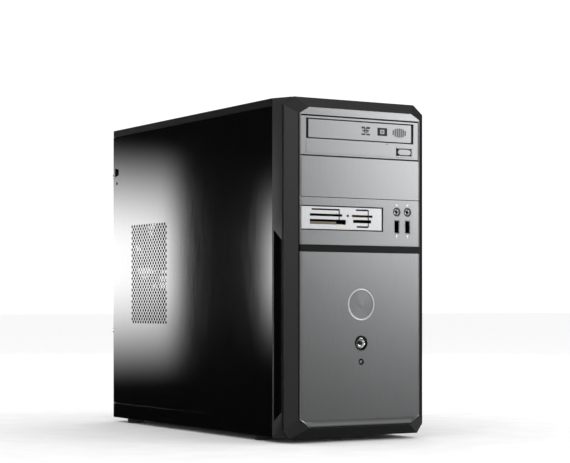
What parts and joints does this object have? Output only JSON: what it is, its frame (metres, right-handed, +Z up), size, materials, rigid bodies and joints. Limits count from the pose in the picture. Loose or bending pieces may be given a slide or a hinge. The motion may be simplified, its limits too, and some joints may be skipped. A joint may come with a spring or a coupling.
{
  "type": "desktop computer tower",
  "caption": "Mini desktop computer tower: steel case, moulded bezel with silver facings, drives, ports, fans, power supply and main board, with sliding and pressing parts.",
  "frame": {"origin": "middle of the footprint, on the surface that the feet stand on", "axes": "+X to the right seen from the front, +Y from the bezel to the rear, +Z up"},
  "size_m": [0.175, 0.433, 0.36],
  "materials": {
    "black_paint": "gloss black paint with a fine grain on folded steel sheet",
    "zinc_steel": "zinc-coated steel sheet, slightly spangled",
    "black_abs": "moulded black ABS, fine texture",
    "silver_abs": "silver-grey lacquered ABS with a fine vertical brush",
    "bright_abs": "bright silver plated ABS",
    "chrome_plate": "polished chrome plate",
    "foot_rubber": "moulded black rubber",
    "clear_lens": "clear moulded light pipe",
    "green_laminate": "green solder mask on glass-fibre laminate",
    "cast_aluminium": "cast and extruded aluminium",
    "cable_jacket": "black flexible cable jacket"
  },
  "bodies": {
    "chassis": {"foot_front_left": "foot_rubber", "foot_front_right": "foot_rubber", "foot_rear_left": "foot_rubber", "foot_rear_right": "foot_rubber", "base_pan": "black_paint", "top_cover": "black_paint", "right_side_panel": "black_paint", "front_plate": "zinc_steel", "rear_panel": "zinc_steel", "padlock_loop": "zinc_steel", "slot_cover_1": "zinc_steel", "slot_cover_2": "zinc_steel", "slot_cover_3": "zinc_steel", "slot_cover_4": "zinc_steel", "motherboard_tray": "zinc_steel", "main_board": "green_laminate", "memory_module_1": "green_laminate", "memory_module_2": "green_laminate", "cpu_heatsink": "cast_aluminium", "cpu_fan_frame": "black_abs", "rear_fan_frame": "black_abs", "rear_ports": "black_abs", "io_shield": "zinc_steel", "psu_case": "zinc_steel", "psu_fan_guard": "chrome_plate", "psu_inlet": "black_abs", "optical_bay_cage": "zinc_steel", "disk_cage": "zinc_steel", "hard_drive": "cast_aluminium", "card_reader": "bright_abs", "optical_drive": "zinc_steel", "drive_face": "silver_abs", "power_switch": "green_laminate", "headphone_jack": "black_abs", "usb_port_left": "zinc_steel", "microphone_jack": "black_abs", "usb_port_right": "zinc_steel", "psu_harness": "cable_jacket", "sata_cable": "cable_jacket", "front_lead": "cable_jacket"},
    "left_cover": {"left_side_panel": "black_paint"},
    "thumbscrew_low": {"thumbscrew_lower": "zinc_steel"},
    "thumbscrew_high": {"thumbscrew_upper": "zinc_steel"},
    "bezel": {"front_bezel": "black_abs", "top_trim": "silver_abs", "port_panel": "silver_abs", "trim_strip": "black_abs", "lower_panel": "silver_abs", "blank_bay_cover": "silver_abs", "badge": "bright_abs", "button_ring": "black_abs", "activity_light": "clear_lens"},
    "power_key": {"power_button": "chrome_plate"},
    "tray": {"disc_tray": "black_abs"},
    "eject_key": {"eject_button": "silver_abs"},
    "cpu_fan": {"cpu_fan_rotor": "black_abs"},
    "rear_fan": {"rear_fan_rotor": "black_abs"},
    "psu_fan": {"psu_fan_rotor": "black_abs"},
    "psu_rocker": {"psu_switch": "black_abs"},
    "slot_latch": {"card_latch": "black_abs"}
  },
  "joints": [
    {"name": "cover_slide", "type": "slide", "parent": "chassis", "child": "left_cover", "axis": [0, 1, 0], "range_m": [0, 0.43]},
    {"name": "thumbscrew_lower_turn", "type": "hinge", "parent": "left_cover", "child": "thumbscrew_low", "pos_m": [-0.081, 0.2075, 0.11255], "axis": [0, 1, 0], "continuous": true},
    {"name": "thumbscrew_upper_turn", "type": "hinge", "parent": "left_cover", "child": "thumbscrew_high", "pos_m": [-0.081, 0.2075, 0.3037], "axis": [0, 1, 0], "continuous": true},
    {"name": "bezel_pull", "type": "slide", "parent": "chassis", "child": "bezel", "axis": [0, -1, 0], "range_m": [0, 0.08]},
    {"name": "power_press", "type": "slide", "parent": "bezel", "child": "power_key", "axis": [0, 1, 0], "range_m": [0, 0.002], "stiffness_N_per_m": 1500},
    {"name": "tray_slide", "type": "slide", "parent": "chassis", "child": "tray", "axis": [0, -1, 0], "range_m": [0, 0.135]},
    {"name": "eject_press", "type": "slide", "parent": "chassis", "child": "eject_key", "axis": [0, 1, 0], "range_m": [0, 0.0015], "stiffness_N_per_m": 1200},
    {"name": "cpu_fan_spin", "type": "hinge", "parent": "chassis", "child": "cpu_fan", "pos_m": [0.018, 0.1062, 0.1898], "axis": [1, 0, 0], "continuous": true},
    {"name": "rear_fan_spin", "type": "hinge", "parent": "chassis", "child": "rear_fan", "pos_m": [-0.02795, 0.19, 0.2056], "axis": [0, 1, 0], "continuous": true},
    {"name": "psu_fan_spin", "type": "hinge", "parent": "chassis", "child": "psu_fan", "pos_m": [-0.028, 0.193, 0.3145], "axis": [0, 1, 0], "continuous": true},
    {"name": "psu_switch_rock", "type": "hinge", "parent": "chassis", "child": "psu_rocker", "pos_m": [0.05, 0.2019, 0.3315], "axis": [1, 0, 0], "range_deg": [-14, 0]},
    {"name": "card_latch_swing", "type": "hinge", "parent": "chassis", "child": "slot_latch", "pos_m": [-0.0517, 0.211, 0.01169], "axis": [0, -1, 0], "range_deg": [0, 90]}
  ]
}
